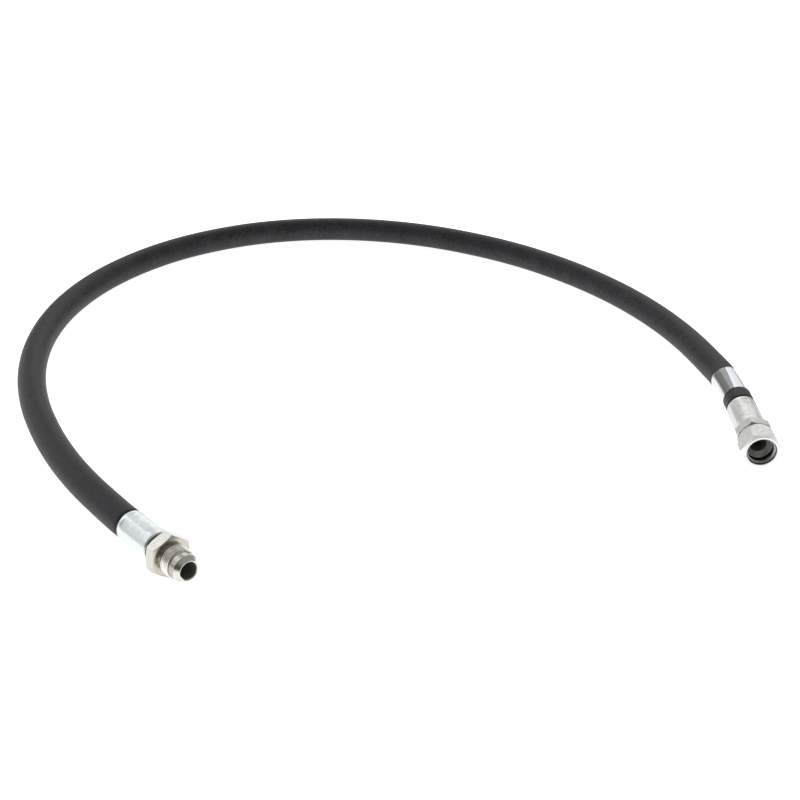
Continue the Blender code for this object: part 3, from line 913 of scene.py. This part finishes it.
bm = bmesh.new()
section = bmesh.ops.create_circle(bm, cap_ends=False, radius=WIRE_RADIUS, segments=WIRE_SIDES)["verts"]
bmesh.ops.rotate(bm, verts=section, cent=(0.0, 0.0, 0.0), matrix=Matrix.Rotation(pi / 2, 3, "X"))
bmesh.ops.translate(bm, verts=section, vec=(WIRE_RING_RADIUS, 0.0, WIRE_STATION))
bmesh.ops.rotate(bm, verts=section, cent=(0.0, 0.0, 0.0), matrix=Matrix.Rotation(WIRE_OPENING / 2, 3, "Z"))
bmesh.ops.spin(
    bm, geom=section + list(bm.edges), cent=(0.0, 0.0, 0.0), axis=(0.0, 0.0, 1.0),
    angle=2 * pi - WIRE_OPENING, steps=90,
)
bmesh.ops.holes_fill(bm, edges=bm.edges, sides=WIRE_SIDES)
bmesh.ops.recalc_face_normals(bm, faces=bm.faces)
drawn_wire = plated_steel(
    "drawn_spring_wire", ROUTE[-1], FEMALE_TURN, bright=(0.62, 0.62, 0.62), dull=(0.45, 0.45, 0.44),
    metallic=1.0, roughness=0.18, spread=0.12, line_depth=0.000004, patch_scale=500.0,
)
nut_wire = finish_metal("nut_wire_ring", bm, FEMALE_FRAME, 0.0, drawn_wire)
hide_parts("nut_retaining_wire")
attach(nut_wire, "hose")


# ---- Label ----
# A blank wrap label of glossy film near the female end. Its white part goes once round the hose, and
# its smoke-grey clear tail is stuck down over the white part's start and ends in a slanting edge.

FILM_THICKNESS = 0.00008
FILM_LIFT = 0.00014
FILM_START = radians(20.0)
FILM_WRAP = radians(410.0)
FILM_SLANT = radians(12.0)
FILM_RAMP = radians(30.0)
FILM_STEPS = 136
FILM_LONGEST = FILM_WRAP + FILM_SLANT
FILM_OVERLAP_LIFT = 1.5 * FILM_THICKNESS
FILM_WHITE = ((0.70, 0.73, 0.82), (0.80, 0.81, 0.85))
FILM_SMOKE = ((0.15, 0.16, 0.15), (0.23, 0.235, 0.225))

bm = bmesh.new()
rows = len(label_axis)
line = [bm.verts.new((HOSE_RADIUS, 0.0, row)) for row in range(rows)]
line += [bm.edges.new(pair) for pair in zip(line, line[1:])]
bmesh.ops.spin(
    bm, geom=line, cent=(0.0, 0.0, 0.0), axis=(0.0, 0.0, 1.0),
    angle=FILM_WRAP, steps=FILM_STEPS, use_merge=False,
)
bm.verts.index_update()
places = {}
for vertex in bm.verts:
    row = round(vertex.co.z)
    turn = (FILM_WRAP + FILM_SLANT * (1 - row / (rows - 1))) * (vertex.index // rows) / FILM_STEPS
    places[vertex] = (turn / FILM_LONGEST, row / (rows - 1))
    lift = min(1.0, max(0.0, (turn - 2 * pi + FILM_RAMP) / FILM_RAMP)) * FILM_OVERLAP_LIFT
    heading = (label_axis[min(row + 1, rows - 1)] - label_axis[max(row - 1, 0)]).normalized()
    left = Vector((0.0, 0.0, 1.0)).cross(heading).normalized() * -1.0
    upward = left.cross(heading)
    outwards = left * cos(FILM_START + turn) + upward * sin(FILM_START + turn)
    vertex.co = label_axis[row] + outwards * (HOSE_RADIUS + FILM_LIFT + lift)
film_map = bm.loops.layers.uv.new("UVMap")
for face in bm.faces:
    for loop in face.loops:
        loop[film_map].uv = places[loop.vert]
bmesh.ops.recalc_face_normals(bm, faces=bm.faces)
film_mesh = bpy.data.meshes.new("film_label")
bm.to_mesh(film_mesh)
bm.free()
film_mesh.shade_smooth()

film, tree, shader = new_material("glossy_label_film")
texture = add_node(tree, "ShaderNodeTexCoord")
uv = add_node(tree, "ShaderNodeSeparateXYZ", {0: texture.outputs["UV"]})
tail = maths(tree, "GREATER_THAN", uv.outputs["X"], 2 * pi / FILM_LONGEST)
haze = noise(tree, {"Vector": texture.outputs["Object"], "Scale": 110.0, "Detail": 3.0})
stretched = add_node(tree, "ShaderNodeMapping", {"Vector": texture.outputs["UV"], "Scale": (60.0, 6.0, 1.0)})
scuffs = noise(tree, {"Vector": stretched.outputs[0], "Scale": 1.0, "Detail": 5.0})
white = blend_colour(tree, haze, *FILM_WHITE)
smoke = blend_colour(tree, haze, *FILM_SMOKE)
tree.links.new(blend_colour(tree, tail, white, smoke), shader.inputs["Base Color"])
tree.links.new(maths(tree, "MULTIPLY_ADD", tail, -0.15, 0.35), shader.inputs["Metallic"])
tree.links.new(maths(tree, "MULTIPLY_ADD", scuffs, 0.14, 0.06), shader.inputs["Roughness"])
shader.inputs["Coat Weight"].default_value = 0.5
shader.inputs["Coat Roughness"].default_value = 0.05
relief = maths(tree, "MULTIPLY_ADD", scuffs, 0.00001, maths(tree, "MULTIPLY", haze, 0.00005))
set_bump(tree, shader, relief, strength=0.7)
film_mesh.materials.append(film)
label = bpy.data.objects.new("film_label", film_mesh)
scene.collection.objects.link(label)
thickness = label.modifiers.new("Film", "SOLIDIFY")
thickness.thickness = FILM_THICKNESS
thickness.offset = -1.0
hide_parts("id_label")
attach(label, "hose")
